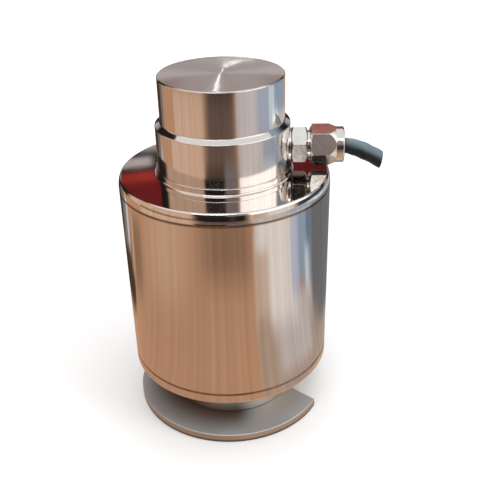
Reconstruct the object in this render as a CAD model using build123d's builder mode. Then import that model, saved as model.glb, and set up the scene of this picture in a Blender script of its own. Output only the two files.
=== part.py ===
"""Strain gauge load cell, column type, standing on its bearing plate.

Millimetres. The origin is the centre of the bearing plate's underside, +Z points up along the
column and +X along the cable gland. The cell is one rigid assembly and nothing on it moves.
"""

import os
from math import cos, hypot, pi, radians, sin, sqrt, tan

from build123d import *

# Fits
fit_clearance = 0.05
bolt_clearance = 0.15

# Housing: a tube between two covers
housing_radius = 60.0
housing_height = 122.0
tube_wall = 4.0
cover_rim_height = 6.8
cover_rim_width = 8.0
cover_disc_thickness = 3.2
cover_hub_width = 3.2
spigot_reach = 2.0
rim_crown_width = 1.9
rim_crown_height = 6.2
bottom_edge_round = 1.5
joint_chamfer = 0.25
weld_lip_height = 3.8
weld_lip_wall = 0.85
weld_lip_round = 0.35
weld_lip_root = 1.1
lower_lip_height = 1.5

# Spring element: foot, gauge column, collar and head turned from one bar
foot_radius = 38.1
foot_reach = 24.8
foot_chamfer = 0.6
flange_radius = 40.0
flange_thickness = 6.1
column_radius = 23.0
column_fillet = 7.0
collar_radius = 37.3
collar_above_gland = 13.9
shoulder_width = 2.9
shoulder_height = 2.1
shoulder_round = 0.5
shoulder_root = 0.6
head_rise = 24.8
head_chamfer = 0.5
gauge_flat_distance = 21.5
gauge_flat_height = 42.0

# Bearing plate, with a flared notch under the gland
plate_radius = 59.05
plate_thickness = 5.5
plate_chamfer = 0.4
notch_gap_to_foot = 1.9
notch_floor_half_width = 15.6
notch_flare_angle = 38.3
notch_corner_radius = 2.0

# Cable gland, its lengths taken outwards from its seat on the collar
gland_body_across_flats = 19.0
gland_nut_across_flats = 19.8
gland_face_inset = 1.0
gland_chamfer_angle = 30.0
gland_thread_radius = 8.0
gland_engagement = 6.5
gland_hole_depth = 15.0
gland_turn_angle = 20.0
spot_face_margin = 0.3
spot_face_gap = 0.2
washer_thickness = 1.5
washer_play = 0.2
body_hex_length = 9.15
body_thread_length = 10.4
body_thread_showing = 1.3
nut_hex_length = 14.35
nut_taper_length = 3.8
nut_collar_length = 4.5
nut_collar_round = 0.8
nut_thread_depth = 9.6
nut_cone_start = 10.1
nut_cone_length = 4.0
nut_cone_mouth_radius = 7.0
seal_pocket_radius = 6.6
seal_pocket_depth = 11.0
seal_length = 8.0
claw_length = 6.2
claw_slot_width = 0.9
claw_slot_depth = 4.2
claw_fingers = 8

# Cable, and the four cores that go on to the terminal board
cable_radius = 4.2
cable_play_in_body = 0.3
cable_play_in_nut = 0.9
core_radius = 0.6
core_spread = 0.9
core_bend_radius = 2.4
channel_radius = 3.1
channel_wall = 0.4
channel_top_gap = 2.5

# Gauges on the column
gauge_count = 4
gauge_azimuth = 45.0
gauge_width = 6.0
gauge_length = 9.0
gauge_backing = 0.15
gauge_foil = 0.1
gauge_bars = 6
gauge_bar_pitch = 0.8
gauge_bar_width = 0.42
gauge_bar_length = 5.0
gauge_bar_shift = 0.9
gauge_tab_width = 1.3
gauge_tab_length = 2.4
gauge_spacing = 12.0
lead_thickness = 0.3
lead_width = 1.6
lead_foot = 1.5
lead_standoff = 0.2
lead_edge_gap = 1.0
lead_rise = 2.5

# Terminal board under the collar
board_thickness = 1.6
board_overhang = 4.0
board_column_gap = 3.5
board_gap_half_width = 5.0
spacer_length = 3.0
spacer_radius = 2.6
board_screw_radius = 1.25
board_screw_head_radius = 2.3
board_screw_head_height = 1.6
board_screw_grip = 4.0
board_screw_end_gap = 0.5
board_screw_count = 3
board_screw_azimuth = 60.0
screw_socket_radius = 0.9
screw_socket_depth = 0.9
land_thickness = 0.3
land_length = 3.0
land_width = 1.5
land_edge_gap = 0.5
resistor_length = 6.4
resistor_width = 2.6
resistor_height = 1.8
resistor_edge_gap = 1.0
resistor_azimuths = (90.0, 180.0, 270.0)

# Levels, from the plate's underside upwards
foot_bottom = plate_thickness
housing_bottom = foot_bottom + foot_reach
lower_joint = housing_bottom + cover_rim_height
housing_top = housing_bottom + housing_height
upper_joint = housing_top - cover_rim_height
lip_top = housing_top + weld_lip_height
lower_flange_top = lower_joint + flange_thickness
upper_flange_bottom = upper_joint - flange_thickness
gauge_level = (lower_flange_top + upper_flange_bottom) / 2
gauge_flat_top = gauge_level + gauge_flat_height / 2

# The gland's spot face lies on the collar just clear of the weld lip
spot_face_radius = gland_body_across_flats / 2 + spot_face_margin
gland_level = lip_top + spot_face_gap + spot_face_radius
collar_top = gland_level + collar_above_gland
shoulder_top = collar_top + shoulder_height
head_top = shoulder_top + head_rise
head_radius = collar_radius - shoulder_width

# Stations along the gland, from the column's axis; the spot face just runs out at its own rim
gland_seat = sqrt(collar_radius**2 - spot_face_radius**2)
gland_hole_bottom = gland_seat - gland_hole_depth
shank_end = gland_seat - gland_engagement
body_hex_start = gland_seat + washer_thickness
body_hex_end = body_hex_start + body_hex_length
body_end = body_hex_end + body_thread_length
nut_start = body_hex_end + body_thread_showing
nut_hex_end = nut_start + nut_hex_length
nut_end = nut_hex_end + nut_collar_length
nut_collar_radius = gland_nut_across_flats / 2
cone_start = nut_start + nut_cone_start
cone_end = cone_start + nut_cone_length
seal_start = body_end - seal_pocket_depth
seal_end = seal_start + seal_length
claw_end = seal_end + claw_length
body_bore_radius = cable_radius + cable_play_in_body
nut_bore_radius = cable_radius + cable_play_in_nut
thread_hole_radius = gland_thread_radius + fit_clearance

gland_axis = Axis((0, 0, gland_level), (1, 0, 0))
gland_section = Plane(origin=(0, 0, gland_level), x_dir=(1, 0, 0), z_dir=(0, -1, 0))

# The drilled way for the cores, from the gland's hole to the flat under the collar
flat_start = column_radius + column_fillet
channel_exit = flat_start + channel_wall + channel_radius
channel_top = gland_hole_bottom + channel_top_gap
channel_drop = gland_level - upper_flange_bottom
channel_slope = (channel_exit - channel_top) / channel_drop
channel_stretch = hypot(1, channel_slope)

# Terminal board
board_top = upper_flange_bottom - spacer_length
board_bottom = board_top - board_thickness
board_bore_radius = column_radius + board_column_gap
board_radius = flange_radius + board_overhang
board_screw_circle = (flat_start + flange_radius) / 2
land_bottom = board_bottom - land_thickness
core_level = land_bottom - core_radius
lead_foot_end = board_bore_radius + lead_edge_gap + lead_foot

os.makedirs("parts", exist_ok=True)


def across_gland(station):
    """The plane square to the gland's axis, at a distance from the column's axis."""
    return Plane(origin=(station, 0, gland_level), x_dir=(0, 1, 0), z_dir=(1, 0, 0))


def facing_column(azimuth, distance, level):
    """The upright plane that faces away from the column's axis at an azimuth in degrees."""
    turn = radians(azimuth)
    return Plane(
        origin=(distance * cos(turn), distance * sin(turn), level),
        x_dir=(-sin(turn), cos(turn), 0),
        z_dir=(cos(turn), sin(turn), 0),
    )


def quarter_turned(face):
    """The same plane with its y axis level instead of upright."""
    return Plane(origin=face.origin, x_dir=face.y_dir, z_dir=face.z_dir)


def through_column(azimuth, sideways):
    """The upright plane through the column's axis, x outwards, moved sideways."""
    turn = radians(azimuth)
    return Plane(
        origin=(-sideways * sin(turn), sideways * cos(turn), 0),
        x_dir=(cos(turn), sin(turn), 0),
        z_dir=(sin(turn), -cos(turn), 0),
    )


def write_piece(piece, name):
    """Labels a finished piece and writes it under its own name."""
    piece.label = name
    export_step(piece, f"parts/{name}.step")


# Spring element: one turned bar, necked down to the gauge column between two flanges
with BuildPart() as spring_element:
    with BuildSketch(Plane.XZ):
        with BuildLine():
            Polyline(
                (0, foot_bottom),
                (foot_radius - foot_chamfer, foot_bottom),
                (foot_radius, foot_bottom + foot_chamfer),
                (foot_radius, lower_joint),
                (flange_radius, lower_joint),
                (flange_radius, lower_flange_top),
                (flat_start, lower_flange_top),
            )
            CenterArc((flat_start, lower_flange_top + column_fillet), column_fillet, 180, 90)
            Line(
                (column_radius, lower_flange_top + column_fillet),
                (column_radius, upper_flange_bottom - column_fillet),
            )
            CenterArc((flat_start, upper_flange_bottom - column_fillet), column_fillet, 90, 90)
            Polyline(
                (flat_start, upper_flange_bottom),
                (flange_radius, upper_flange_bottom),
                (flange_radius, upper_joint),
                (collar_radius, upper_joint),
            )
            FilletPolyline(
                (collar_radius, upper_joint),
                (collar_radius, collar_top),
                (head_radius, shoulder_top),
                (head_radius, head_top - head_chamfer),
                radius=(shoulder_round, shoulder_root),
            )
            Polyline(
                (head_radius, head_top - head_chamfer),
                (head_radius - head_chamfer, head_top),
                (0, head_top),
                (0, foot_bottom),
            )
        make_face()
    revolve(axis=Axis.Z)

    # Flats milled across the column for the gauges
    for turn in range(gauge_count):
        azimuth = gauge_azimuth + turn * 360 / gauge_count
        with BuildSketch(facing_column(azimuth, gauge_flat_distance, gauge_level)):
            Rectangle(2 * column_radius, gauge_flat_height)
        extrude(amount=column_radius, mode=Mode.SUBTRACT)

    # The gland's spot face and hole
    with BuildSketch(across_gland(gland_seat)):
        Circle(spot_face_radius)
    extrude(amount=spot_face_radius, mode=Mode.SUBTRACT)
    with BuildSketch(across_gland(gland_hole_bottom)):
        Circle(thread_hole_radius)
    extrude(amount=gland_hole_depth, mode=Mode.SUBTRACT)

    # The drilled way for the cores
    with BuildSketch(Plane(origin=(channel_top, 0, gland_level), z_dir=(channel_slope, 0, -1))):
        Circle(channel_radius)
    extrude(amount=channel_drop * channel_stretch + channel_radius, mode=Mode.SUBTRACT)

    # The board's tapped holes
    with BuildSketch(Plane.XY.offset(upper_flange_bottom)):
        with PolarLocations(board_screw_circle, board_screw_count, board_screw_azimuth):
            Circle(board_screw_radius + fit_clearance)
    extrude(amount=board_screw_grip + board_screw_end_gap, mode=Mode.SUBTRACT)
write_piece(spring_element.part, "spring_element")


# Top cover: a diaphragm disc between a hub and a rim, with a weld lip round the collar
top_bore_radius = collar_radius + fit_clearance
lip_radius = top_bore_radius + weld_lip_wall
spigot_radius = housing_radius - tube_wall - fit_clearance
rim_inner_radius = housing_radius - cover_rim_width
with BuildPart() as top_cover:
    with BuildSketch(Plane.XZ):
        with BuildLine():
            Polyline(
                (top_bore_radius, upper_joint),
                (top_bore_radius, lip_top),
                (lip_radius - weld_lip_round, lip_top),
            )
            CenterArc((lip_radius - weld_lip_round, lip_top - weld_lip_round), weld_lip_round, 0, 90)
            Line((lip_radius, lip_top - weld_lip_round), (lip_radius, housing_top + weld_lip_root))
            CenterArc(
                (lip_radius + weld_lip_root, housing_top + weld_lip_root), weld_lip_root, 180, 90
            )
            Line(
                (lip_radius + weld_lip_root, housing_top),
                (housing_radius - rim_crown_width, housing_top),
            )
            EllipticalCenterArc(
                (housing_radius - rim_crown_width, housing_top - rim_crown_height),
                rim_crown_width,
                rim_crown_height,
                start_angle=0,
                arc_size=90,
            )
            Polyline(
                (housing_radius, housing_top - rim_crown_height),
                (housing_radius, upper_joint + joint_chamfer),
                (housing_radius - joint_chamfer, upper_joint),
                (spigot_radius, upper_joint),
                (spigot_radius, upper_joint - spigot_reach),
                (rim_inner_radius, upper_joint - spigot_reach),
                (rim_inner_radius, housing_top - cover_disc_thickness),
                (top_bore_radius + cover_hub_width, housing_top - cover_disc_thickness),
                (top_bore_radius + cover_hub_width, upper_joint),
                (top_bore_radius, upper_joint),
            )
        make_face()
    revolve(axis=Axis.Z)
write_piece(top_cover.part, "top_cover")


# Housing tube: plain, with a fine chamfer at each joint
with BuildPart() as housing_tube:
    with BuildSketch(Plane.XZ):
        with BuildLine():
            Polyline(
                (housing_radius - tube_wall, lower_joint),
                (housing_radius - joint_chamfer, lower_joint),
                (housing_radius, lower_joint + joint_chamfer),
                (housing_radius, upper_joint - joint_chamfer),
                (housing_radius - joint_chamfer, upper_joint),
                (housing_radius - tube_wall, upper_joint),
                close=True,
            )
        make_face()
    revolve(axis=Axis.Z)
write_piece(housing_tube.part, "housing_tube")


# Bottom cover: the same disc turned over, with a short lip round the foot
bottom_bore_radius = foot_radius + fit_clearance
bottom_lip_radius = bottom_bore_radius + weld_lip_wall
with BuildPart() as bottom_cover:
    with BuildSketch(Plane.XZ):
        with BuildLine():
            Polyline(
                (housing_radius - bottom_edge_round, housing_bottom),
                (bottom_lip_radius, housing_bottom),
                (bottom_lip_radius, housing_bottom - lower_lip_height),
                (bottom_bore_radius, housing_bottom - lower_lip_height),
                (bottom_bore_radius, lower_joint),
                (bottom_bore_radius + cover_hub_width, lower_joint),
                (bottom_bore_radius + cover_hub_width, housing_bottom + cover_disc_thickness),
                (rim_inner_radius, housing_bottom + cover_disc_thickness),
                (rim_inner_radius, lower_joint + spigot_reach),
                (spigot_radius, lower_joint + spigot_reach),
                (spigot_radius, lower_joint),
                (housing_radius - joint_chamfer, lower_joint),
                (housing_radius, lower_joint - joint_chamfer),
                (housing_radius, housing_bottom + bottom_edge_round),
            )
            CenterArc(
                (housing_radius - bottom_edge_round, housing_bottom + bottom_edge_round),
                bottom_edge_round,
                270,
                90,
            )
        make_face()
    revolve(axis=Axis.Z)
write_piece(bottom_cover.part, "bottom_cover")


# Bearing plate: a round plate with a flared notch, its floor just clear of the foot
notch_floor = foot_radius + notch_gap_to_foot
notch_reach = plate_radius
notch_mouth_half_width = notch_floor_half_width + notch_reach * tan(radians(notch_flare_angle))
with BuildPart() as base_plate:
    with BuildSketch() as plate_outline:
        Circle(plate_radius)
        with BuildLine():
            Polyline(
                (notch_floor, -notch_floor_half_width),
                (notch_floor, notch_floor_half_width),
                (notch_floor + notch_reach, notch_mouth_half_width),
                (notch_floor + notch_reach, -notch_mouth_half_width),
                close=True,
            )
        make_face(mode=Mode.SUBTRACT)
        floor_corners = plate_outline.vertices().filter_by_position(
            Axis.X, notch_floor - fit_clearance, notch_floor + fit_clearance
        )
        fillet(floor_corners, notch_corner_radius)
    extrude(amount=plate_thickness)
    chamfer(base_plate.faces().filter_by(Axis.Z).edges(), plate_chamfer)
write_piece(base_plate.part, "base_plate")


# Gland washer: a flat ring between the gland and its spot face
with BuildPart() as gland_washer:
    with BuildSketch(across_gland(gland_seat)):
        Circle(spot_face_radius - washer_play)
        Circle(thread_hole_radius, mode=Mode.SUBTRACT)
    extrude(amount=washer_thickness)
write_piece(gland_washer.part, "gland_washer")


# Gland body: a chamfered hexagon between two threaded shanks, with a pocket for the seal
chamfer_rise = 1 / tan(radians(gland_chamfer_angle))
body_face_radius = gland_body_across_flats / 2 - gland_face_inset
body_hex_middle = (body_hex_start + body_hex_end) / 2
body_cone_radius = body_face_radius + body_hex_length / 2 * chamfer_rise
with BuildPart() as gland_body:
    with BuildSketch(across_gland(body_hex_start)):
        RegularPolygon(
            gland_body_across_flats / 2,
            6,
            major_radius=False,
            rotation=180 - gland_turn_angle,
        )
    extrude(amount=body_hex_length)
    with BuildSketch(gland_section):
        with BuildLine():
            Polyline(
                (body_hex_start, 0),
                (body_hex_start, body_face_radius),
                (body_hex_middle, body_cone_radius),
                (body_hex_end, body_face_radius),
                (body_hex_end, 0),
                close=True,
            )
        make_face()
    revolve(axis=gland_axis, mode=Mode.INTERSECT)
    with BuildSketch(across_gland(shank_end)):
        Circle(gland_thread_radius)
    extrude(amount=body_end - shank_end)
    with BuildSketch(across_gland(shank_end)):
        Circle(body_bore_radius)
    extrude(amount=body_end - shank_end, mode=Mode.SUBTRACT)
    with BuildSketch(across_gland(seal_start)):
        Circle(seal_pocket_radius)
    extrude(amount=seal_pocket_depth, mode=Mode.SUBTRACT)
write_piece(gland_body.part, "gland_body")


# Gland seal: a rubber bush that the claw squeezes round the cable
with BuildPart() as gland_seal:
    with BuildSketch(across_gland(seal_start)):
        Circle(seal_pocket_radius - fit_clearance)
        Circle(cable_radius + fit_clearance, mode=Mode.SUBTRACT)
    extrude(amount=seal_length)
write_piece(gland_seal.part, "gland_seal")


# Gland claw: a ring of fingers whose tapered ends lie in the nut's cone
cone_rate = (nut_cone_mouth_radius - nut_bore_radius) / nut_cone_length
claw_radius = seal_pocket_radius - 2 * fit_clearance
claw_taper_start = cone_start + (nut_cone_mouth_radius - claw_radius - bolt_clearance) / cone_rate
claw_tip_radius = claw_radius - (claw_end - claw_taper_start) * cone_rate
claw_bore_radius = cable_radius + 2 * fit_clearance
with BuildPart() as gland_claw:
    with BuildSketch(gland_section):
        with BuildLine():
            Polyline(
                (seal_end, claw_bore_radius),
                (seal_end, claw_radius),
                (claw_taper_start, claw_radius),
                (claw_end, claw_tip_radius),
                (claw_end, claw_bore_radius),
                close=True,
            )
        make_face()
    revolve(axis=gland_axis)
    with BuildSketch(across_gland(claw_end)):
        with PolarLocations(claw_radius, claw_fingers):
            Rectangle(claw_radius, claw_slot_width)
    extrude(amount=-claw_slot_depth, mode=Mode.SUBTRACT)
write_piece(gland_claw.part, "gland_claw")


# Gland nut: a hexagon cap that tapers to a round end collar, threaded and coned inside
nut_face_radius = nut_collar_radius - gland_face_inset
nut_corner_radius = nut_collar_radius / cos(pi / 6)
with BuildPart() as gland_nut:
    with BuildSketch(across_gland(nut_start)):
        RegularPolygon(
            nut_collar_radius,
            6,
            major_radius=False,
            rotation=180 - gland_turn_angle + 30,
        )
    extrude(amount=nut_hex_length)
    with BuildSketch(gland_section):
        with BuildLine():
            Polyline(
                (nut_start, 0),
                (nut_start, nut_face_radius),
                (nut_start + (nut_corner_radius - nut_face_radius) / chamfer_rise, nut_corner_radius),
                (nut_hex_end - nut_taper_length, nut_corner_radius),
                (nut_hex_end, nut_collar_radius),
                (nut_hex_end, 0),
                close=True,
            )
        make_face()
    revolve(axis=gland_axis, mode=Mode.INTERSECT)
    with BuildSketch(gland_section):
        with BuildLine():
            Polyline(
                (nut_end, nut_collar_radius - nut_collar_round),
                (nut_end, 0),
                (nut_hex_end, 0),
                (nut_hex_end, nut_collar_radius),
                (nut_end - nut_collar_round, nut_collar_radius),
            )
            CenterArc(
                (nut_end - nut_collar_round, nut_collar_radius - nut_collar_round),
                nut_collar_round,
                0,
                90,
            )
        make_face()
    revolve(axis=gland_axis)
    with BuildSketch(gland_section):
        with BuildLine():
            Polyline(
                (nut_start, 0),
                (nut_start, thread_hole_radius),
                (nut_start + nut_thread_depth, thread_hole_radius),
                (cone_start, nut_cone_mouth_radius),
                (cone_end, nut_bore_radius),
                (nut_end, nut_bore_radius),
                (nut_end, 0),
                close=True,
            )
        make_face()
    revolve(axis=gland_axis, mode=Mode.SUBTRACT)
write_piece(gland_nut.part, "gland_nut")


# Cable: straight through the gland, then bent down a little to its cut end
cable_points = [(gland_seat, 0), (65.0, 0), (77.2, -2.9), (88.0, -9.0)]
bend_share = 0.45


def bend_radius(before, corner, after):
    """The arc at a corner of the cable's route, as wide as its two runs allow."""
    run_in = Vector(*corner) - Vector(*before)
    run_out = Vector(*after) - Vector(*corner)
    half_turn = radians(run_in.get_angle(run_out)) / 2
    return bend_share * min(run_in.length, run_out.length) / tan(half_turn)


cable_bends = [bend_radius(*cable_points[i : i + 3]) for i in range(len(cable_points) - 2)]
print("cable bend radii", [round(radius, 1) for radius in cable_bends])
with BuildPart() as cable:
    with BuildLine(gland_section) as cable_route:
        FilletPolyline(*cable_points, radius=cable_bends)
    with BuildSketch(across_gland(gland_seat)):
        Circle(cable_radius)
    sweep(path=cable_route.line)
cable_length = sum(edge.length for edge in cable_route.edges())
print("cable length", round(cable_length, 2))
straight_volume = pi * cable_radius**2 * cable_length
print("cable volume over straight volume", cable.part.volume / straight_volume)
write_piece(cable.part, "cable")


# Cores: from the cable's jacket through the gland's hole and the drilled way to the board
def core(up, side):
    """One core; up sets it above or below the cable's axis, side left or right of it."""
    level = gland_level + up * core_spread
    shift = -up * core_spread * channel_stretch
    turn_in = channel_top - up * core_spread * channel_slope + shift
    turn_out = channel_top + (gland_level - core_level) * channel_slope + shift
    sideways = side * core_spread
    land_middle = side * (board_gap_half_width + land_edge_gap + land_length / 2)
    with BuildPart() as wire:
        with BuildLine() as route:
            FilletPolyline(
                (gland_seat, sideways, level),
                (turn_in, sideways, level),
                (turn_out, sideways, core_level),
                (turn_out, land_middle, core_level),
                radius=core_bend_radius,
            )
        with BuildSketch(Plane(origin=(gland_seat, sideways, level), z_dir=(-1, 0, 0))):
            Circle(core_radius)
        sweep(path=route.line)
    return wire.part, turn_out, land_middle


core_places = {
    "core_red": (1, 1),
    "core_black": (1, -1),
    "core_green": (-1, 1),
    "core_white": (-1, -1),
}
core_lands = []
for core_name, (up, side) in core_places.items():
    core_wire, land_x, land_y = core(up, side)
    core_lands.append((land_x, land_y))
    write_piece(core_wire, core_name)


# Foil gauges: a thin backing with a raised grid of foil, one along and one across each flat
def foil_gauge(face):
    """One gauge on a plane whose y runs along the grid."""
    span = (gauge_bars - 1) * gauge_bar_pitch
    bar_end = gauge_bar_length / 2
    with BuildPart() as gauge:
        with BuildSketch(face):
            Rectangle(gauge_width, gauge_length)
        extrude(amount=gauge_backing)
        with BuildSketch(face.offset(gauge_backing)):
            with Locations((0, -gauge_bar_shift)):
                with GridLocations(gauge_bar_pitch, 0, gauge_bars, 1):
                    Rectangle(gauge_bar_width, gauge_bar_length)
            for gap in range(gauge_bars - 1):
                bar_side = 1 if gap % 2 else -1
                middle = (gap + 0.5) * gauge_bar_pitch - span / 2
                turn_y = bar_side * (bar_end - gauge_bar_width / 2) - gauge_bar_shift
                with Locations((middle, turn_y)):
                    Rectangle(gauge_bar_pitch, gauge_bar_width)
            for tab_side in (-1, 1):
                with Locations((tab_side * span / 2, bar_end - gauge_bar_shift + gauge_tab_length / 2)):
                    Rectangle(gauge_tab_width, gauge_tab_length)
        extrude(amount=gauge_foil)
    return gauge.part


gauge_azimuths = [gauge_azimuth + turn * 360 / gauge_count for turn in range(gauge_count)]
for number, azimuth in enumerate(gauge_azimuths, start=1):
    upper_face = facing_column(azimuth, gauge_flat_distance, gauge_level + gauge_spacing / 2)
    lower_face = facing_column(azimuth, gauge_flat_distance, gauge_level - gauge_spacing / 2)
    write_piece(foil_gauge(upper_face), f"axial_gauge_{number}")
    write_piece(foil_gauge(quarter_turned(lower_face)), f"transverse_gauge_{number}")


# Gauge leads: flat ribbons from the gauges' tabs up the column to the board's underside
tab_start = gauge_bar_length / 2 - gauge_bar_shift
tab_span = (gauge_bars - 1) * gauge_bar_pitch + gauge_tab_width
lead_sideways = -(gauge_width / 2 + lead_standoff + lead_width / 2)
lead_kinds = {
    "axial": (0, tab_span, gauge_level + gauge_spacing / 2 + tab_start),
    "transverse": (lead_sideways, lead_width, gauge_level - gauge_spacing / 2 - tab_span / 2),
}
lead_on_gauge = gauge_flat_distance + gauge_backing + gauge_foil + lead_thickness / 2
lead_on_column = column_radius + lead_standoff + lead_thickness / 2
lead_under_board = board_bottom - lead_thickness / 2
with BuildPart() as gauge_leads:
    for azimuth in gauge_azimuths:
        for sideways, width, start_level in lead_kinds.values():
            with BuildSketch(through_column(azimuth, sideways)):
                with BuildLine():
                    Polyline(
                        (lead_on_gauge, start_level),
                        (lead_on_gauge, gauge_flat_top - lead_rise),
                        (lead_on_column, gauge_flat_top - lead_standoff),
                        (lead_on_column, upper_flange_bottom - column_fillet - lead_edge_gap),
                        (board_bore_radius + lead_edge_gap, lead_under_board),
                        (lead_foot_end, lead_under_board),
                    )
                trace(line_width=lead_thickness)
            extrude(amount=width / 2, both=True)
write_piece(gauge_leads.part, "gauge_leads")


# Terminal board: a ring under the collar, open where the cores come down
with BuildPart() as terminal_board:
    with BuildSketch(Plane.XY.offset(board_bottom)):
        Circle(board_radius)
        Circle(board_bore_radius, mode=Mode.SUBTRACT)
        Rectangle(
            board_radius,
            2 * board_gap_half_width,
            align=(Align.MIN, Align.CENTER),
            mode=Mode.SUBTRACT,
        )
        with PolarLocations(board_screw_circle, board_screw_count, board_screw_azimuth):
            Circle(board_screw_radius + bolt_clearance, mode=Mode.SUBTRACT)
    extrude(amount=board_thickness)
write_piece(terminal_board.part, "terminal_board")


# Board spacers: three short sleeves between the board and the collar's flange
with BuildPart() as board_spacers:
    with BuildSketch(Plane.XY.offset(board_top)):
        with PolarLocations(board_screw_circle, board_screw_count, board_screw_azimuth):
            Circle(spacer_radius)
            Circle(board_screw_radius + bolt_clearance, mode=Mode.SUBTRACT)
    extrude(amount=spacer_length)
write_piece(board_spacers.part, "board_spacers")


# Board screws: three socket-head screws up through the board and its spacers
screw_length = board_thickness + spacer_length + board_screw_grip
with BuildPart() as board_screws:
    with BuildSketch(Plane.XY.offset(board_bottom)):
        with PolarLocations(board_screw_circle, board_screw_count, board_screw_azimuth):
            Circle(board_screw_radius)
    extrude(amount=screw_length)
    with BuildSketch(Plane.XY.offset(board_bottom)):
        with PolarLocations(board_screw_circle, board_screw_count, board_screw_azimuth):
            Circle(board_screw_head_radius)
    extrude(amount=-board_screw_head_height)
    with BuildSketch(Plane.XY.offset(board_bottom - board_screw_head_height)):
        with PolarLocations(board_screw_circle, board_screw_count, board_screw_azimuth):
            RegularPolygon(screw_socket_radius, 6)
    extrude(amount=screw_socket_depth, mode=Mode.SUBTRACT)
write_piece(board_screws.part, "board_screws")


# Board lands: tinned pads under the board, for the gauges' leads and the cores
with BuildPart() as board_lands:
    with BuildSketch(Plane.XY.offset(land_bottom)):
        with Locations(*core_lands):
            Rectangle(land_width, land_length)
    extrude(amount=land_thickness)
    for azimuth in gauge_azimuths:
        for sideways, width, start_level in lead_kinds.values():
            with BuildSketch(Plane.XY.offset(land_bottom).rotated((0, 0, azimuth))):
                with Locations((lead_foot_end, sideways)):
                    Rectangle(land_width, width, align=(Align.MIN, Align.CENTER))
            extrude(amount=land_thickness)
write_piece(board_lands.part, "board_lands")


# Trim resistors: three small blocks near the board's edge
resistor_circle = board_radius - resistor_edge_gap - resistor_width / 2
with BuildPart() as trim_resistors:
    for azimuth in resistor_azimuths:
        with BuildSketch(Plane.XY.offset(board_bottom).rotated((0, 0, azimuth))):
            with Locations((resistor_circle, 0)):
                Rectangle(resistor_width, resistor_length)
        extrude(amount=-resistor_height)
write_piece(trim_resistors.part, "trim_resistors")
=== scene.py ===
from math import cos, pi, radians, sin

import bpy
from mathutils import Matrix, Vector


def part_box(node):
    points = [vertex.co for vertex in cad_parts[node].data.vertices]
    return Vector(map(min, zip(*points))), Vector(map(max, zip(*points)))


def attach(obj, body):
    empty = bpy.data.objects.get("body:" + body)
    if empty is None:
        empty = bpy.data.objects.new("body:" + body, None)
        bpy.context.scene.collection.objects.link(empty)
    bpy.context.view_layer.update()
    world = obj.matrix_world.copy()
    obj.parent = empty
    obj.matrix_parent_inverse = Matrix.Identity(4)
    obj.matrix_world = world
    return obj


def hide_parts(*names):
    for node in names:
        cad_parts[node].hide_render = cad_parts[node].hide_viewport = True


# The finish of a column type strain gauge load cell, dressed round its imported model. Metres, in the
# model's own frame: +Z up the column, +X out along the cable gland, origin under the bearing plate.
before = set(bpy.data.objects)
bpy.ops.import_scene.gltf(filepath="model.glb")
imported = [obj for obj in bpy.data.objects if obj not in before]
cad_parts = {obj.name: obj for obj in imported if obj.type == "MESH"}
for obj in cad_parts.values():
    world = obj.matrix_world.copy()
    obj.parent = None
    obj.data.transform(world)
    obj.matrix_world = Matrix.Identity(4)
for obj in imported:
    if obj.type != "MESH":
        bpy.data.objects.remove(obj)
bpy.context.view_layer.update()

# Camera: stands in front of the cell, a little right of it, and looks down on it by 29 degrees. It
# has no shift and no depth of field.
camera_data = bpy.data.cameras.new("photo_camera")
camera_data.lens = 53.23
camera = bpy.data.objects.new("photo_camera", camera_data)
camera.location = (0.02716, -0.38845, 0.31652)
camera.rotation_euler = (radians(60.74), radians(1.08), radians(1.40))
bpy.context.scene.collection.objects.link(camera)
bpy.context.scene.camera = camera
bpy.context.scene.view_settings.view_transform = "Standard"


# Cable: four insulated cores in a braided shield, under a dark blue-grey extruded jacket. The gland
# grips it. It leaves the nut level, sags a little over 20 mm and ends where it was cut off.
cable_diameter = 0.0084
cable_length = 0.0538
gland_seat = 0.03599
gland_level = 0.1661
nut_mouth = 0.0668
cable_route = [
    (gland_seat, 0, gland_level),
    (0.0530, 0, gland_level),
    (0.0650, 0, gland_level),
    (0.0772, 0, 0.1632),
    (0.0879, 0, 0.1568),
]
cable_sides = 40
cable_steps = 90
jacket_thickness = 0.0011
slim_radius = cable_diameter / 2
full_radius = 0.0047
swelling_length = 0.009
lump_height, lump_turns, lump_twist = 0.00012, 900, 1.3
oval_height, oval_turn = 0.0001, 5
cut_reach, cut_lean = 0.008, 0.36
end_depth = 0.0012
crease_start, crease_end, crease_turns = 0.067, 0.075, 5000.0
# The jacket's underside colours are painted shade, and its top colours are painted light.
shade_under_dark, shade_under_light = (0.010, 0.012, 0.015), (0.026, 0.033, 0.040)
lit_top_dark, lit_top_light = (0.115, 0.155, 0.185), (0.21, 0.27, 0.31)
noise_low, noise_high = 0.3, 0.7
sideways = Vector((0, 1, 0))


def route_line(points):
    """The points along the smooth line that the cable follows."""
    curve = bpy.data.curves.new("cable_route", "CURVE")
    curve.dimensions = "3D"
    curve.resolution_u = 24
    spline = curve.splines.new("NURBS")
    spline.points.add(len(points) - 1)
    for control, point in zip(spline.points, points):
        control.co = (*point, 1)
    spline.order_u = 3
    spline.use_endpoint_u = True
    line = bpy.data.objects.new("cable_route", curve)
    bpy.context.scene.collection.objects.link(line)
    bpy.context.view_layer.update()
    sampled = bpy.data.meshes.new_from_object(line)
    found = [vertex.co.copy() for vertex in sampled.vertices]
    bpy.data.objects.remove(line)
    return found


def evenly_spaced(points, count):
    """The same line with its points a like distance apart."""
    travelled = [0.0]
    for here, there in zip(points, points[1:]):
        travelled.append(travelled[-1] + (there - here).length)
    spaced, leg = [], 0
    for step in range(count + 1):
        wanted = travelled[-1] * step / count
        while leg < len(points) - 2 and travelled[leg + 1] < wanted:
            leg += 1
        share = (wanted - travelled[leg]) / (travelled[leg + 1] - travelled[leg])
        spaced.append(points[leg].lerp(points[leg + 1], share))
    return spaced


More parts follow.
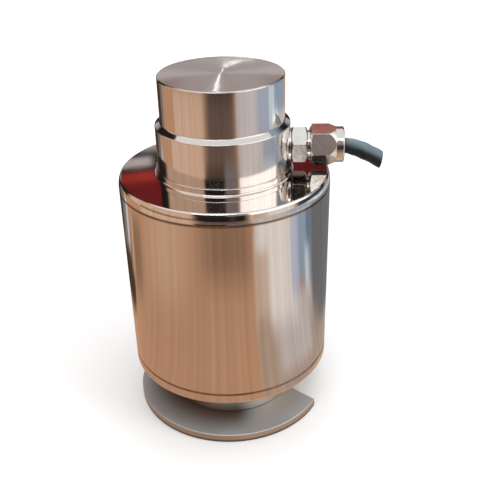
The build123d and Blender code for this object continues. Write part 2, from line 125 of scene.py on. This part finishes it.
def jacket_radius(point, around):
    """The jacket's radius: gripped thin at the nut, full at the cut, with soft lumps between."""
    out = min(1.0, max(0.0, (point.x - nut_mouth) / swelling_length))
    eased = out * out * (3 - 2 * out)
    lumps = lump_height * sin(point.x * lump_turns + lump_twist * sin(around))
    lumps += oval_height * sin(2 * around + oval_turn)
    return slim_radius + (full_radius - slim_radius) * eased + lumps * eased


def tube_faces(ring_count, sides, ends=True):
    """The faces from each ring of points to the next, with a flat face at both ends."""
    faces = []
    for ring in range(ring_count - 1):
        for side in range(sides):
            here, there = ring * sides + side, ring * sides + (side + 1) % sides
            faces.append((here, there, there + sides, here + sides))
    if ends:
        faces.append(tuple(range(sides))[::-1])
        faces.append(tuple((ring_count - 1) * sides + side for side in range(sides)))
    return faces


def jacket_mesh():
    """The jacket as a tube with a wall, cut off nearly upright at its far end."""
    rings = []
    for index, point in enumerate(cable_line):
        before = cable_line[max(index - 1, 0)]
        after = cable_line[min(index + 1, cable_steps)]
        forward = (after - before).normalized()
        lift = forward.cross(sideways).normalized()
        to_cut = cable_length * (1 - index / cable_steps)
        lean = max(0.0, 1 - to_cut / cut_reach) * cut_lean
        ring = []
        for side in range(cable_sides):
            around = 2 * pi * side / cable_sides
            radius = jacket_radius(point, around)
            spoke = lift * cos(around) * radius + sideways * sin(around) * radius
            ring.append(point + spoke - forward * (cos(around) * radius * lean))
        rings.append(ring)
    outer_end = rings[-1]
    centre = sum(outer_end, Vector()) / cable_sides
    wall = [point.lerp(centre, jacket_thickness / full_radius) for point in outer_end]
    sunk = [point - end_forward * end_depth for point in wall]
    rings += [wall, sunk]
    return [point for ring in rings for point in ring], tube_faces(len(rings), cable_sides)


def new_piece(name, points, faces, smooth=True):
    """An object in the scene, its mesh made of points and faces."""
    mesh = bpy.data.meshes.new(name)
    mesh.from_pydata(points, [], faces)
    for face in mesh.polygons:
        face.use_smooth = smooth
    piece = bpy.data.objects.new(name, mesh)
    bpy.context.scene.collection.objects.link(piece)
    return piece


def add_node(material, kind, inputs=None, **settings):
    """A shader node with its sockets set, or joined where a socket is given."""
    node = material.node_tree.nodes.new(kind)
    for setting, value in settings.items():
        setattr(node, setting, value)
    for socket, value in (inputs or {}).items():
        if isinstance(value, bpy.types.NodeSocket):
            material.node_tree.links.new(value, node.inputs[socket])
        else:
            node.inputs[socket].default_value = value
    return node


def new_finish(name, **sockets):
    """A material and its main shader, with the values that don't vary over the piece."""
    material = bpy.data.materials.new(name)
    material.use_nodes = True
    shader = material.node_tree.nodes["Principled BSDF"]
    for socket, value in sockets.items():
        shader.inputs[socket.replace("_", " ")].default_value = value
    return material, shader


def lay_on(material, shader, **patterns):
    """Patterns joined to the shader's sockets, such as its base colour."""
    for socket, pattern in patterns.items():
        material.node_tree.links.new(pattern, shader.inputs[socket.replace("_", " ")])


def place_on(material):
    """A surface point's place in the cell's own frame."""
    return add_node(material, "ShaderNodeTexCoord").outputs["Object"]


def split(material, vector):
    """The X, Y and Z of a place or a direction."""
    return add_node(material, "ShaderNodeSeparateXYZ", {"Vector": vector}).outputs


def ramp(material, value, start, end, low=0.0, high=1.0, eased=False):
    """A value carried from one range to another, and held at both ends."""
    return add_node(
        material,
        "ShaderNodeMapRange",
        {"Value": value, "From Min": start, "From Max": end, "To Min": low, "To Max": high},
        interpolation_type="SMOOTHSTEP" if eased else "LINEAR",
    ).outputs["Result"]


def mottle(material, scale, low=0.0, high=1.0, stretch=(1, 1, 1), detail=4.0, place=None):
    """Noise that runs from one value to the other, in the cell's own space unless told where."""
    grain = add_node(
        material, "ShaderNodeMapping", {"Vector": place or place_on(material), "Scale": stretch}
    ).outputs["Vector"]
    noise = add_node(
        material, "ShaderNodeTexNoise", {"Vector": grain, "Scale": scale, "Detail": detail}
    ).outputs["Fac"]
    return ramp(material, noise, noise_low, noise_high, low, high)


def between(material, amount, first, second):
    """A colour between two, by a value from 0 to 1."""
    mix = add_node(material, "ShaderNodeMix", {"Factor": amount}, data_type="RGBA")
    colour_inputs = [socket for socket in mix.inputs if socket.type == "RGBA"]
    for socket, colour in zip(colour_inputs, (first, second)):
        if isinstance(colour, bpy.types.NodeSocket):
            material.node_tree.links.new(colour, socket)
        else:
            socket.default_value = (*colour, 1)
    return next(socket for socket in mix.outputs if socket.type == "RGBA")


def calculate(material, operation, first, second=0.0):
    """The result of one sum on sockets or numbers."""
    return add_node(
        material, "ShaderNodeMath", {0: first, 1: second}, operation=operation
    ).outputs["Value"]


def raised(material, shader, *heights, edge=0.0):
    """Bumps on the surface, each a pattern and its height in metres, and edges worn round."""
    normal = None
    if edge:
        normal = add_node(material, "ShaderNodeBevel", {"Radius": edge}, samples=6).outputs["Normal"]
    for pattern, height in heights:
        bump = add_node(material, "ShaderNodeBump", {"Height": pattern, "Distance": height})
        if normal:
            material.node_tree.links.new(normal, bump.inputs["Normal"])
        normal = bump.outputs["Normal"]
    lay_on(material, shader, Normal=normal)


def jacket_finish():
    """Extruded jacket: satin, drawn lengthwise, creased at the nut, with painted light on top and
    painted shade below.
    """
    material, shader = new_finish(
        "jacket",
        Specular_IOR_Level=0.2,
        Sheen_Weight=0.6,
        Sheen_Roughness=0.35,
        Sheen_Tint=(0.55, 0.68, 0.78, 1),
    )
    shade = mottle(material, 160, stretch=(0.5, 1, 1))
    facing = add_node(material, "ShaderNodeNewGeometry").outputs["Normal"]
    # Painted light on faces turned up, painted shade on faces turned down.
    top_lit_share = ramp(material, split(material, facing)["Z"], 0.0, 1.0, eased=True)
    clean_and_shaded = between(material, shade, shade_under_dark, shade_under_light)
    dulled_and_lit = between(material, shade, lit_top_dark, lit_top_light)
    rubbed = mottle(material, 420, low=0.30, high=0.46, detail=6)
    lay_on(
        material, shader, Base_Color=between(material, top_lit_share, clean_and_shaded, dulled_and_lit), Roughness=rubbed
    )
    out = split(material, place_on(material))["X"]
    near_nut = ramp(material, out, crease_start, crease_end, low=1.0, high=0.0)
    ripple = calculate(material, "SINE", calculate(material, "MULTIPLY", out, crease_turns))
    creases = calculate(material, "MULTIPLY", ripple, near_nut)
    drawn_lines = mottle(material, 900, stretch=(0.08, 1, 1), detail=2)
    lumps = mottle(material, 210, detail=3)
    raised(material, shader, (drawn_lines, 0.00003), (lumps, 0.00012), (creases, 0.00025))
    return material


cable_line = evenly_spaced(route_line(cable_route), cable_steps)
end_forward = (cable_line[-1] - cable_line[-2]).normalized()
cable = new_piece("cable_jacket", *jacket_mesh())
cable.data.materials.append(jacket_finish())
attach(cable, "root")
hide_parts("cable")


# Cut end of the cable: the tinned braid of the shield round four insulated cores of copper strands,
# all cut by the same stroke and seen only from the end.
core_colours = {
    "red": (0.55, 0.03, 0.025),
    "green": (0.03, 0.30, 0.08),
    "white": (0.82, 0.82, 0.78),
    "black": (0.025, 0.025, 0.028),
}
shield_gap, shield_proud = 0.0001, -0.0006
core_ring, core_radius, core_proud = 0.00155, 0.00125, -0.0002
strands_radius, strands_proud = 0.00062, -0.00008
rim_round, rim_share = 0.00008, 0.93
strand_scale = 5200.0
copper_bright, copper_dark = (0.86, 0.50, 0.32), (0.30, 0.14, 0.08)
braid_grey = (0.52, 0.51, 0.50, 1)
end_lift = end_forward.cross(sideways).normalized()
end_normal = (end_forward + end_lift * cut_lean).normalized()
end_up = end_normal.cross(sideways).normalized()


def end_disc(middle_up, middle_side, radius, proud, sides=20):
    """A short round stub on the cable's cut end, its rim rounded."""
    foot = cable_line[-1] + end_up * middle_up + sideways * middle_side
    steps = [(-end_depth, 1.0), (proud - rim_round, 1.0), (proud, rim_share)]
    points = []
    for along, share in steps:
        for side in range(sides):
            around = 2 * pi * side / sides
            spoke = (end_up * cos(around) + sideways * sin(around)) * radius * share
            points.append(foot + spoke + end_normal * along)
    return points, tube_faces(len(steps), sides)


def insulation_finish(name, colour):
    """Extruded insulation: a little uneven in tone, with fine scuffs along it."""
    material, shader = new_finish(f"insulation_{name}", Roughness=0.35)
    darker = tuple(channel * 0.8 for channel in colour)
    lay_on(material, shader, Base_Color=between(material, mottle(material, 900), darker, colour))
    raised(material, shader, (mottle(material, 1500, stretch=(1, 1, 0.2)), 0.00002))
    return material


def strand_finish():
    """Bright copper strands, seen end on."""
    material, shader = new_finish("copper_strands", Metallic=1.0, Roughness=0.3)
    ends = add_node(
        material, "ShaderNodeTexVoronoi", {"Vector": place_on(material), "Scale": strand_scale}
    ).outputs["Distance"]
    lay_on(material, shader, Base_Color=between(material, ends, copper_bright, copper_dark))
    raised(material, shader, (ends, -0.00003))
    return material


def braid_finish():
    """Tinned copper braid, rough where its wires are cut."""
    material, shader = new_finish(
        "tinned_braid", Metallic=1.0, Base_Color=braid_grey, Roughness=0.38
    )
    raised(material, shader, (mottle(material, 1400), 0.00008))
    return material


shield_radius = full_radius - jacket_thickness - shield_gap
shield = new_piece("cable_shield", *end_disc(0, 0, shield_radius, shield_proud, sides=36))
shield.data.materials.append(braid_finish())
copper_strands = strand_finish()
cable_ends = [shield]
for number, (core_name, core_colour) in enumerate(core_colours.items()):
    around = pi / 4 + number * pi / 2
    middle = core_ring * sin(around), core_ring * cos(around)
    core = new_piece(f"cut_core_{core_name}", *end_disc(*middle, core_radius, core_proud))
    core.data.materials.append(insulation_finish(core_name, core_colour))
    strands = new_piece(
        f"cut_strands_{core_name}", *end_disc(*middle, strands_radius, strands_proud, sides=14)
    )
    strands.data.materials.append(copper_strands)
    cable_ends += [core, strands]
for piece in cable_ends:
    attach(piece, "root")


# Floor and room: a plain matt floor under a plain white room, neither of them part of the cell. The
# floor looks white and keeps the cell's shadow, but throws little light back up at the steel.
floor_reach = 6.0
thrown_tone = (0.17, 0.16, 0.15)
white = (1.0, 1.0, 1.0)
glow_start, glow_full, glow_level = 0.08, 1.0, 0.35
room_light = 0.55


def ring_points(radius, level, sides=96):
    """Points on a level ring round the column."""
    turns = [2 * pi * side / sides for side in range(sides)]
    return [(radius * cos(around), radius * sin(around), level) for around in turns]


def seen_directly(material):
    """1 for what the camera sees, straight or in polished or clear pieces, and 0 for light thrown."""
    rays = add_node(material, "ShaderNodeLightPath").outputs
    bounced = calculate(material, "MAXIMUM", rays["Is Glossy Ray"], rays["Is Transmission Ray"])
    return calculate(material, "MAXIMUM", rays["Is Camera Ray"], bounced)


def reach(material):
    """How far a surface point lies from the origin, under the column."""
    return add_node(
        material, "ShaderNodeVectorMath", {0: place_on(material)}, operation="LENGTH"
    ).outputs["Value"]


def floor_finish():
    """Matt paint, with a faint glow far out that joins it to the white of the room."""
    material, shader = new_finish(
        "pale_floor", Roughness=0.9, Specular_IOR_Level=0.1, Emission_Color=(1, 1, 1, 1)
    )
    far_out = ramp(material, reach(material), glow_start, glow_full, high=glow_level, eased=True)
    camera_ray = add_node(material, "ShaderNodeLightPath").outputs["Is Camera Ray"]
    lay_on(
        material,
        shader,
        Base_Color=between(material, seen_directly(material), thrown_tone, white),
        Emission_Strength=calculate(material, "MULTIPLY", far_out, camera_ray),
    )
    return material


floor_ring = ring_points(floor_reach, 0.0)
floor = new_piece("floor", floor_ring, [tuple(range(len(floor_ring)))], smooth=False)
floor.data.materials.append(floor_finish())

room = bpy.data.worlds.new("white_room")
bpy.context.scene.world = room
room.use_nodes = True
room_shader = room.node_tree.nodes["Background"]
room_shader.inputs["Color"].default_value = (*white, 1)
lay_on(room, room_shader, Strength=ramp(room, seen_directly(room), 0.0, 1.0, low=room_light))


# Lamps: soft boxes overhead, in front and at the right, and far behind a narrow upright slit, whose
# glint the turned rings of the load face draw out into a bright wedge.
def soft_box(name, place, aim, size, watts, mirrored=True):
    """A rectangular lamp that faces a point, and shows or not in the polished steel."""
    lamp = bpy.data.lights.new(name, "AREA")
    lamp.shape = "RECTANGLE"
    lamp.size, lamp.size_y = size
    lamp.energy = watts
    holder = bpy.data.objects.new(name, lamp)
    holder.location = place
    holder.rotation_euler = (Vector(aim) - Vector(place)).to_track_quat("-Z", "Y").to_euler()
    holder.visible_glossy = mirrored
    bpy.context.scene.collection.objects.link(holder)


cell_middle = (0.0, 0.0, 0.1)
load_face_middle = (0.0, 0.0, 0.207)
soft_box("overhead_box", (0.1, 0.15, 1.3), cell_middle, (1.4, 1.0), watts=8.0, mirrored=False)
soft_box("front_box", (-0.2, -0.9, 1.1), cell_middle, (0.9, 0.5), watts=5.0)
soft_box("window_box", (1.0, -0.5, 0.8), cell_middle, (0.5, 0.7), watts=4.0, mirrored=False)
soft_box("slit_lamp", (-0.0813, 0.876, 0.76), load_face_middle, (0.006, 0.10), watts=0.11)


# Reflector cards: painted reflections, glowing cards that stand for what the polished steel mirrors.
# One lies round the foot like a bench top of oak, with painted shade on it in front and at the back
# left, and one stands round it like a room, tan at the left, with a window at the right, and dark in
# front and behind. Only mirrored rays see them, and they aren't part of the cell.
oak = (0.626, 0.350, 0.210)
pale_oak = (0.71, 0.44, 0.285)
shaded_oak = (0.36, 0.205, 0.125)
sunlit_oak = (0.94, 0.60, 0.34)
driftwood = (0.56, 0.41, 0.31)
straw = (0.76, 0.56, 0.43)
tan_wall = (0.80, 0.54, 0.38)
taupe = (0.51, 0.39, 0.32)
pale_taupe = (0.67, 0.60, 0.56)
shade_brown = (0.07, 0.045, 0.03)
umber = (0.17, 0.115, 0.095)
deep_shade = (0.022, 0.017, 0.016)
window_white = (2.3, 2.2, 2.1)
bright_white = (1.5, 1.5, 1.5)
sill_white = (0.98, 0.90, 0.84)
far_white = (0.72, 0.66, 0.64)
cloud_blue = (0.35, 0.45, 0.56)
slate_blue = (0.20, 0.27, 0.37)
steel_blue = (0.48, 0.55, 0.67)
pale_blue = (0.74, 0.85, 0.93)
pale_steel = (0.66, 0.70, 0.74)
lavender = (0.62, 0.64, 0.80)
dusk_grey = (0.20, 0.20, 0.21)
slate = (0.055, 0.055, 0.075)
red_cloth = (0.42, 0.040, 0.024)
dark_red = (0.17, 0.016, 0.018)
maroon = (0.12, 0.012, 0.015)
rosewood = (0.40, 0.125, 0.11)
mauve = (0.31, 0.25, 0.245)
pale_mauve = (0.59, 0.53, 0.515)
card_reach = 0.9
card_lift = 0.0008
card_top = 1.1
plate_gap = 0.001
streak_scale, streak_low, streak_high = 0.22, 0.84, 1.12


def soft_edge(material, value, start, end):
    """0 at start and 1 at end, with an eased slope between."""
    return ramp(material, value, start, end, eased=True)


def shown_within(material, value, start, end, edge):
    """1 from start to end, fading over the edge's width on both sides."""
    rise = soft_edge(material, value, start - edge, start + edge)
    fall = soft_edge(material, value, end - edge, end + edge)
    return calculate(material, "SUBTRACT", rise, fall)


def ring_strip(first, second):
    """A strip round the column between two rings, each a radius and a level."""
    rings = [ring_points(*first), ring_points(*second)]
    return rings[0] + rings[1], tube_faces(len(rings), len(rings[0]), ends=False)


def card_piece(name, strip, ground, tones, across):
    """A glowing card that lights and shades nothing, with tones laid on its ground."""
    card = new_piece(name, *strip, smooth=False)
    material = bpy.data.materials.new(name)
    material.use_nodes = True
    tree = material.node_tree
    tree.nodes.remove(tree.nodes["Principled BSDF"])
    axes = split(material, place_on(material))
    turned = calculate(material, "ARCTAN2", axes["Y"], axes["X"])
    azimuth = calculate(material, "MULTIPLY", turned, 180 / pi)
    distance = reach(material)
    second = {"distance": distance, "height": axes["Z"]}[across]
    colour = ground
    for tone, start, end, edge, low, high, fade in tones:
        over = calculate(
            material,
            "MULTIPLY",
            shown_within(material, azimuth, start, end, edge),
            shown_within(material, second, low, high, fade),
        )
        colour = between(material, over, colour, tone)
    spokes = add_node(
        material, "ShaderNodeCombineXYZ", {"X": azimuth, "Y": distance}
    ).outputs["Vector"]
    streaks = mottle(material, streak_scale, streak_low, streak_high, detail=5.0, place=spokes)
    glow = add_node(material, "ShaderNodeEmission", {"Color": colour, "Strength": streaks})
    tree.links.new(glow.outputs["Emission"], tree.nodes["Material Output"].inputs["Surface"])
    material.cycles.emission_sampling = "NONE"
    card.data.materials.append(material)
    for ray in ("camera", "diffuse", "transmission", "volume_scatter", "shadow"):
        setattr(card, f"visible_{ray}", False)


# Each tone of the bench top: its colour, its first and last azimuth in degrees and how soft they
# are, then its least and greatest distance from the column in metres and how soft those are.
bench_tones = [
    (pale_oak, -168, -130, 12, 0.20, 0.36, 0.05),
    (tan_wall, -190, -116, 8, 0.37, 2.0, 0.04),
    (shaded_oak, -190, -112, 10, 0.74, 2.0, 0.05),
    # The dark tones in front of the column are painted shade on the bench.
    (shaded_oak, -111, -62, 14, 0.24, 2.0, 0.04),
    (umber, -114, -68, 9, 0.44, 2.0, 0.04),
    (deep_shade, -117, -84, 3, 0.375, 0.435, 0.02),
    (dusk_grey, -86, -64, 4, 0.385, 0.435, 0.02),
    (deep_shade, -110, -66, 7, 0.70, 2.0, 0.06),
    (pale_taupe, -44, 8, 5, 0.10, 0.20, 0.02),
    (taupe, -42, 60, 4, 0.05, 0.105, 0.015),
    (taupe, 2, 60, 4, 0.05, 0.16, 0.03),
    (sunlit_oak, -84, 10, 12, 0.03, 0.086, 0.005),
    (straw, -61, -42, 3, 0.17, 0.33, 0.02),
    (driftwood, -60, -41, 4, 0.09, 0.185, 0.02),
    (sill_white, -47, -14, 4, 0.17, 0.40, 0.03),
    (sill_white, -59, -40, 2.5, 0.285, 0.42, 0.012),
    (far_white, -62, -17, 5, 0.40, 2.0, 0.05),
    (cloud_blue, -18, 14, 5, 0.21, 0.38, 0.03),
    (lavender, -21, -12, 2.5, 0.19, 0.36, 0.03),
    (slate_blue, 1, 8, 1.5, 0.26, 0.36, 0.03),
    (pale_blue, -2, 4, 1.5, 0.19, 0.262, 0.02),
    (pale_steel, -20, 10, 5, 0.38, 0.44, 0.02),
    (cloud_blue, -20, 22, 4, 0.44, 0.50, 0.02),
    (dusk_grey, 8, 88, 4, 0.15, 0.40, 0.035),
    (dusk_grey, 17, 72, 10, 0.125, 0.40, 0.02),
    (cloud_blue, 7, 60, 4, 0.40, 0.44, 0.02),
    (far_white, 17, 60, 4, 0.44, 0.49, 0.02),
    (steel_blue, -23, 60, 4, 0.51, 2.0, 0.02),
    (pale_blue, 3, 20, 4, 0.52, 2.0, 0.02),
    (bright_white, 13, 33, 3, 0.505, 0.575, 0.015),
    (far_white, 33, 70, 4, 0.505, 0.575, 0.015),
    (cloud_blue, 19, 60, 4, 0.585, 2.0, 0.015),
    (shaded_oak, 153, 176, 5, 0.18, 0.32, 0.04),
    (pale_oak, 157, 161, 2, 0.16, 0.32, 0.02),
    # The dark brown tones at the back left are painted shade on the bench.
    (shade_brown, 112, 153, 3, 0.14, 0.245, 0.025),
    (shade_brown, 150, 159, 3, 0.14, 0.20, 0.02),
    (shade_brown, 112, 137, 4, 0.24, 2.0, 0.025),
    (dusk_grey, 137, 146, 2, 0.24, 2.0, 0.025),
    (far_white, 146.5, 152.5, 1.5, 0.24, 0.45, 0.03),
]
plate_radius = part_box("base_plate")[1].y
bench_ring = ring_strip((plate_radius + plate_gap, card_lift), (card_reach, card_lift))
card_piece("bench_card", bench_ring, oak, bench_tones, "distance")

# Each tone of the room: its colour, its first and last azimuth in degrees and how soft they are,
# then its least and greatest height in metres and how soft those are.
room_tones = [
    (shaded_oak, -190, -112, 8, -1.0, 0.07, 0.03),
    (umber, -118, -66, 6, -1.0, 2.0, 0.05),
    (deep_shade, -116, -80, 5, -1.0, 0.36, 0.06),
    (deep_shade, -120, -87, 3, 0.36, 0.66, 0.05),
    (deep_shade, -80, -66, 5, -1.0, 0.40, 0.06),
    (mauve, -85, -66, 2, 0.40, 2.0, 0.03),
    (sill_white, -46, -14, 8, -1.0, 0.30, 0.05),
    (window_white, -61, 12, 3, 0.36, 2.0, 0.06),
    (slate, -12, 40, 6, -1.0, 0.30, 0.06),
    (cloud_blue, 17, 60, 3, 0.30, 2.0, 0.06),
    (deep_shade, 45, 160, 6, -1.0, 2.0, 0.05),
    (pale_mauve, 60, 128, 6, 0.24, 0.485, 0.01),
    (pale_mauve, 102.5, 107, 0.6, 0.500, 0.517, 0.003),
    (maroon, 60, 97, 1, 0.500, 0.560, 0.006),
    (dark_red, 99, 125, 1, 0.527, 0.70, 0.003),
    (red_cloth, 102, 125, 1, 0.529, 0.548, 0.004),
    (rosewood, 60, 125, 6, 0.76, 2.0, 0.06),
    (pale_mauve, 87, 100.5, 1, 0.40, 0.60, 0.02),
    (bright_white, -180, 0, 10, 0.86, 2.0, 0.04),
    (mauve, -85, -72, 2, 0.80, 2.0, 0.03),
]
room_band = ring_strip((card_reach, card_top), (card_reach, card_lift))
card_piece("room_card", room_band, tan_wall, room_tones, "height")


# Spring element: foot, gauge column, collar and head, turned from one bar of stainless steel. Its
# walls are polished bright, and the load face on top keeps the rings of its facing cut.
load_face_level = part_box("spring_element")[1].z
load_face_rim = 0.0002
load_face_roughness = 0.18
wall_grain, load_face_grain = 0.6, 1.0
steel_dark, steel_light = (0.64, 0.61, 0.59), (0.70, 0.675, 0.655)


def steel_look(material, shader, clean_and_shaded, worn, waviness, line_height, edge):
    """Polished steel: a touch of tint, cloudy gloss, faint turning lines and a slow waviness."""
    tint = between(material, mottle(material, 14), steel_dark, steel_light)
    gloss = mottle(material, 38, clean_and_shaded, worn, detail=7)
    lines = mottle(material, 60, stretch=(1, 1, 28), detail=3)
    slow = mottle(material, 22, detail=1)
    raised(material, shader, (lines, line_height), (slow, waviness), edge=edge)
    around_axis = add_node(
        material, "ShaderNodeTangent", direction_type="RADIAL", axis="Z"
    ).outputs["Tangent"]
    lay_on(material, shader, Tangent=around_axis)
    return tint, gloss


def turned_bar_finish():
    """The bar's steel: polished walls, and a load face with fine turned rings."""
    material, shader = new_finish("turned_bar", Metallic=1.0, Anisotropic_Rotation=0.25)
    tint, gloss = steel_look(
        material,
        shader,
        clean_and_shaded=0.07,
        worn=0.13,
        waviness=0.00003,
        line_height=0.0000012,
        edge=0.0007,
    )
    level = split(material, place_on(material))["Z"]
    on_top = soft_edge(
        material, level, load_face_level - load_face_rim, load_face_level - load_face_rim / 2
    )
    faced = add_node(
        material, "ShaderNodeMix", {"Factor": on_top, "A": gloss, "B": load_face_roughness}
    ).outputs["Result"]
    ringed = ramp(material, on_top, 0.0, 1.0, wall_grain, load_face_grain)
    lay_on(material, shader, Base_Color=tint, Roughness=faced, Anisotropic=ringed)
    return material


def dress(node, finish):
    """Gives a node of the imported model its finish."""
    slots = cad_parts[node].data.materials
    slots.clear()
    slots.append(finish)


dress("spring_element", turned_bar_finish())


# Covers and housing tube: bright polished stainless sheet and tube, laser welded at two fine joints
# and at the lips round the collar and the foot.
joint_levels = [corner.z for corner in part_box("housing_tube")]
seam_half, seam_fade = 0.0007, 0.0005
seam_tone = (0.20, 0.13, 0.085)


def polished_steel(name, clean_and_shaded, worn, waviness):
    """Mirror-polished stainless steel, dark in the two weld joints."""
    material, shader = new_finish(
        name, Metallic=1.0, Anisotropic=0.35, Anisotropic_Rotation=0.25
    )
    tint, gloss = steel_look(
        material, shader, clean_and_shaded, worn, waviness, line_height=0.0000008, edge=0.0004
    )
    level = split(material, place_on(material))["Z"]
    seams = [
        shown_within(material, level, joint - seam_half, joint + seam_half, seam_fade)
        for joint in joint_levels
    ]
    colour = between(material, calculate(material, "MAXIMUM", *seams), tint, seam_tone)
    lay_on(material, shader, Base_Color=colour, Roughness=gloss)
    return material


cover_steel = polished_steel("cover_steel", clean_and_shaded=0.03, worn=0.07, waviness=0.00002)
tube_steel = polished_steel("tube_steel", clean_and_shaded=0.06, worn=0.12, waviness=0.00004)
dress("top_cover", cover_steel)
dress("bottom_cover", cover_steel)
dress("housing_tube", tube_steel)


# Bearing plate: cut from satin stainless plate, its edge and notch profiled and lightly broken. The
# foot stands on its middle. Painted shade darkens it round the foot's left, a painted glint lightens
# it at the foot's right, and its edge is browner with a painted reflection, over painted shade at the
# floor.
foot_radius = 0.0381
foot_shade_reach = 0.022
foot_shade_side = (0.018, 0.004)
glint_side = (0.013, 0.024)
plate_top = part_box("base_plate")[1].z
skirt_levels = (plate_top - 0.0003, plate_top - 0.0010)
contact_shade_levels = (0.0026, 0.0008)
plate_dark, plate_light = (0.41, 0.43, 0.44), (0.50, 0.52, 0.53)
# Painted shade round the foot's left, where the cover shades the plate.
foot_shade_brown = (0.11, 0.08, 0.065)
# A painted glint at the foot's right.
glint_cream = (0.62, 0.60, 0.55)
# A painted reflection of the tan bench down the plate's edge.
skirt_reflection_tan = (0.48, 0.35, 0.255)
# Painted shade along the floor at the plate's bottom edge.
contact_shade_brown = (0.08, 0.055, 0.045)


def plate_finish():
    """Satin steel with a fine tooth: painted shade and a painted glint at the foot, a painted tan
    reflection on the skirt, painted shade below.
    """
    material, shader = new_finish("satin_plate", Metallic=0.45)
    axes = split(material, place_on(material))
    near_foot = soft_edge(material, reach(material), foot_radius + foot_shade_reach, foot_radius)
    left_side = soft_edge(material, axes["X"], *foot_shade_side)
    right_side = soft_edge(material, axes["X"], *glint_side)
    painted_marks = [
        (calculate(material, "MULTIPLY", near_foot, left_side), foot_shade_brown),
        (calculate(material, "MULTIPLY", near_foot, right_side), glint_cream),
        (soft_edge(material, axes["Z"], *skirt_levels), skirt_reflection_tan),
        (soft_edge(material, axes["Z"], *contact_shade_levels), contact_shade_brown),
    ]
    tone = between(material, mottle(material, 30), plate_dark, plate_light)
    for amount, painted_mark in painted_marks:
        tone = between(material, amount, tone, painted_mark)
    handled = mottle(material, 60, low=0.42, high=0.56, detail=6)
    lay_on(material, shader, Base_Color=tone, Roughness=handled)
    raised(material, shader, (mottle(material, 1600, detail=2), 0.000006))
    return material


dress("base_plate", plate_finish())


# Gland: body, nut and washer are nickel-plated brass, the hexagons milled from bar. The body screws
# into the collar, and a rubber bush and a nylon claw inside grip the cable.
nickel_dark, nickel_light = (0.66, 0.64, 0.61), (0.76, 0.745, 0.72)
rubber_black = (0.03, 0.03, 0.03)
nylon_black = (0.045, 0.045, 0.047)


def plated_finish():
    """Bright nickel over brass, softened at its edges by the barrel it was plated in."""
    material, shader = new_finish("nickel_plate", Metallic=1.0)
    tone = between(material, mottle(material, 90), nickel_dark, nickel_light)
    dulled_and_lit = mottle(material, 300, low=0.10, high=0.22, detail=5)
    lay_on(material, shader, Base_Color=tone, Roughness=dulled_and_lit)
    raised(material, shader, (mottle(material, 500, detail=3), 0.00001), edge=0.0004)
    return material


def moulded_finish(name, colour, roughness, tooth):
    """Moulded rubber or plastic with a fine tooth."""
    material, shader = new_finish(name, Roughness=roughness)
    lighter = tuple(channel * 1.5 for channel in colour)
    lay_on(material, shader, Base_Color=between(material, mottle(material, 200), colour, lighter))
    raised(material, shader, (mottle(material, 2500, detail=2), tooth))
    return material


nickel_plate = plated_finish()
dress("gland_body", nickel_plate)
dress("gland_nut", nickel_plate)
dress("gland_washer", nickel_plate)
dress("gland_seal", moulded_finish("black_rubber", rubber_black, roughness=0.7, tooth=0.00002))
dress("gland_claw", moulded_finish("black_nylon", nylon_black, roughness=0.45, tooth=0.00001))


# Gauges: eight etched foil grids on amber film, bonded to the column's flats. Flat ribbon leads of
# tinned copper are soldered to them and run to the board.
amber_dark, amber_light = (0.55, 0.34, 0.13), (0.68, 0.48, 0.24)
tinned_dark, tinned_light = (0.60, 0.42, 0.32), (0.78, 0.62, 0.52)


def gauge_finish():
    """Amber film over the foil's grid, a little uneven in tone."""
    material, shader = new_finish("gauge_film", Roughness=0.35)
    tone = between(material, mottle(material, 700), amber_dark, amber_light)
    lay_on(material, shader, Base_Color=tone)
    raised(material, shader, (mottle(material, 3000), 0.000004))
    return material


def drawn_metal_finish(name, dark, bright, roughness):
    """Small metal parts: drawn or turned, a little uneven in tone."""
    material, shader = new_finish(name, Metallic=1.0, Roughness=roughness)
    lay_on(material, shader, Base_Color=between(material, mottle(material, 400), dark, bright))
    raised(material, shader, (mottle(material, 1800, stretch=(1, 1, 0.1)), 0.000005))
    return material


gauge_film = gauge_finish()
for kind in ("axial", "transverse"):
    for number in range(1, 5):
        dress(f"{kind}_gauge_{number}", gauge_film)
tinned_copper = drawn_metal_finish("tinned_copper", tinned_dark, tinned_light, roughness=0.3)
dress("gauge_leads", tinned_copper)


# Terminal board: green glass-cloth laminate round the column, held under the collar by brass spacers
# and steel screws. It carries soldering lands, the trim resistors and the ends of the cable's cores.
weave_scale = 1600.0
laminate_dark, laminate_light = (0.06, 0.22, 0.10), (0.09, 0.29, 0.14)
brass_dark, brass_light = (0.66, 0.50, 0.24), (0.80, 0.65, 0.36)
screw_dark, screw_light = (0.40, 0.40, 0.40), (0.58, 0.57, 0.56)
resistor_black = (0.03, 0.03, 0.035)


def laminate_finish():
    """Green laminate with its glass weave just showing."""
    material, shader = new_finish("laminate", Roughness=0.35)
    weave = add_node(
        material, "ShaderNodeTexChecker", {"Vector": place_on(material), "Scale": weave_scale}
    ).outputs["Fac"]
    lay_on(material, shader, Base_Color=between(material, weave, laminate_dark, laminate_light))
    raised(material, shader, (weave, 0.000008))
    return material


turned_brass = drawn_metal_finish("turned_brass", brass_dark, brass_light, roughness=0.25)
screw_steel = drawn_metal_finish("screw_steel", screw_dark, screw_light, roughness=0.3)
resistor_body = moulded_finish("resistor_body", resistor_black, roughness=0.4, tooth=0.00001)
dress("terminal_board", laminate_finish())
dress("board_lands", tinned_copper)
dress("board_spacers", turned_brass)
dress("board_screws", screw_steel)
dress("trim_resistors", resistor_body)
for core_name, core_colour in core_colours.items():
    dress(f"core_{core_name}", insulation_finish(f"{core_name}_wire", core_colour))
